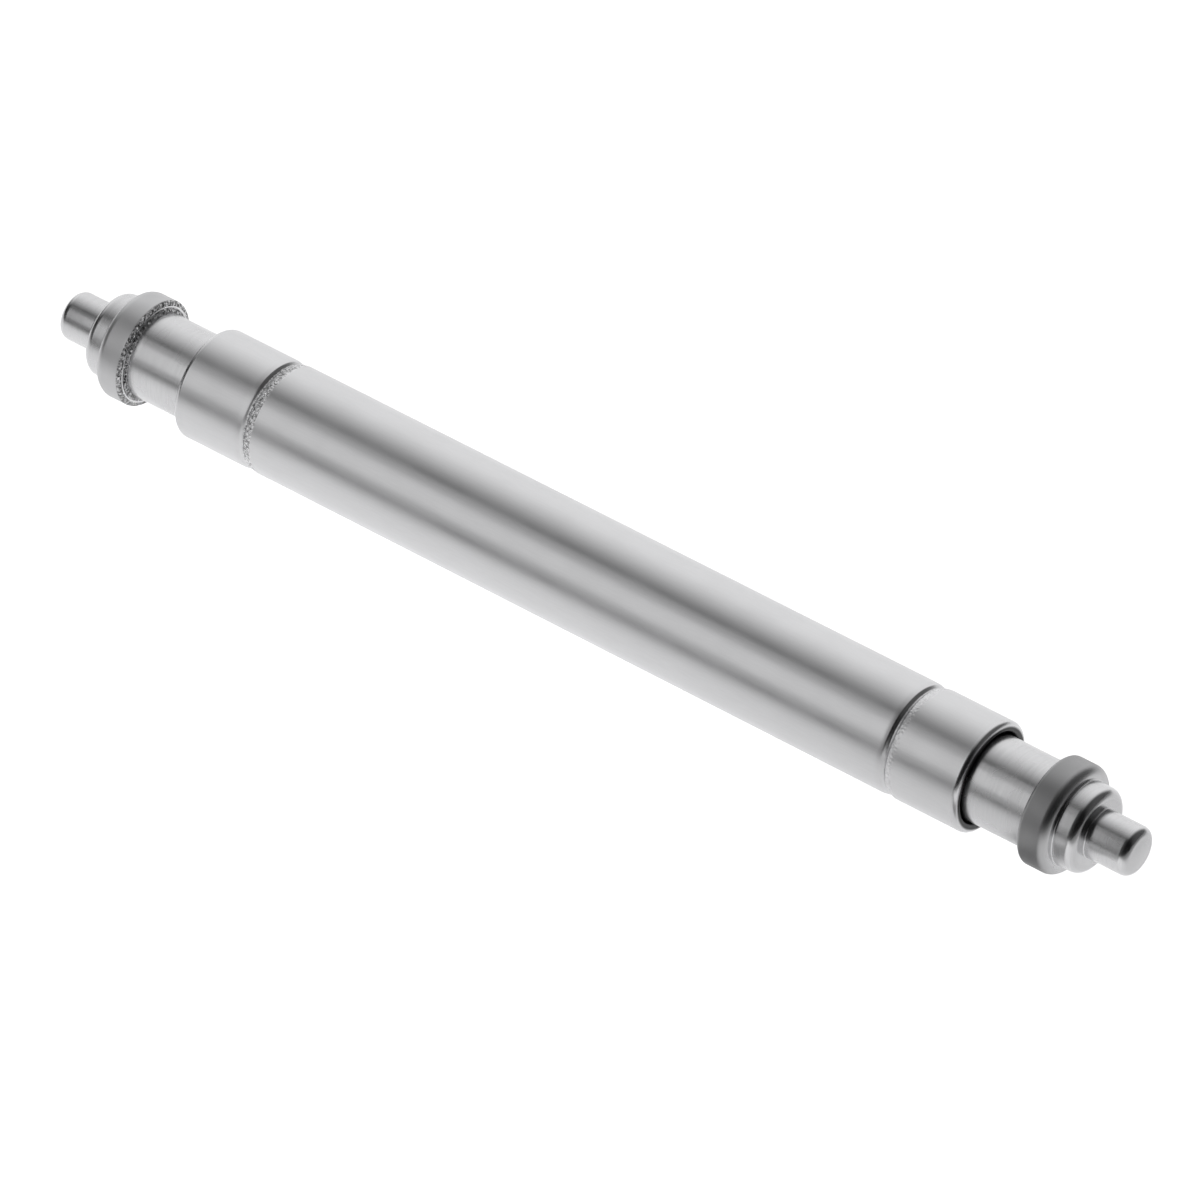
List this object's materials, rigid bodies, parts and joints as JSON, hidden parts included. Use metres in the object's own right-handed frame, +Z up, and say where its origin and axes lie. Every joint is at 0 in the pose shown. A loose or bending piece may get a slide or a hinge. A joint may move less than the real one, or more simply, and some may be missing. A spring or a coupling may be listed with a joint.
{
  "type": "watch spring bar",
  "caption": "Double-shoulder watch spring bar: a crimped steel tube with a sprung plunger at each end, each with a collar, a shoulder and a tip for the lug hole.",
  "frame": {"origin": "on the bar's axis, midway between the two mouths of the tube", "axes": "+X along the bar towards plunger_right, +Z up"},
  "size_m": [0.0278, 0.0024, 0.0024],
  "materials": {
    "tube_steel": "fine satin, rolled rough in the crimp",
    "turned_steel": "turned bright, with fine turning marks on its faces",
    "spring_wire": "drawn wire, semi-bright"
  },
  "bodies": {
    "tube": {"tube": "tube_steel", "spring": "spring_wire"},
    "plunger_left": {"plunger_left": "turned_steel"},
    "plunger_right": {"plunger_right": "turned_steel"}
  },
  "joints": [
    {"name": "press_left", "type": "slide", "parent": "tube", "child": "plunger_left", "axis": [1, 0, 0], "range_m": [0, 0.00142], "stiffness_N_per_m": 430, "springref_m": -0.0025, "deforming": ["spring"]},
    {"name": "press_right", "type": "slide", "parent": "tube", "child": "plunger_right", "axis": [-1, 0, 0], "range_m": [0, 0.00142], "stiffness_N_per_m": 430, "springref_m": -0.0025, "deforming": ["spring"]}
  ]
}
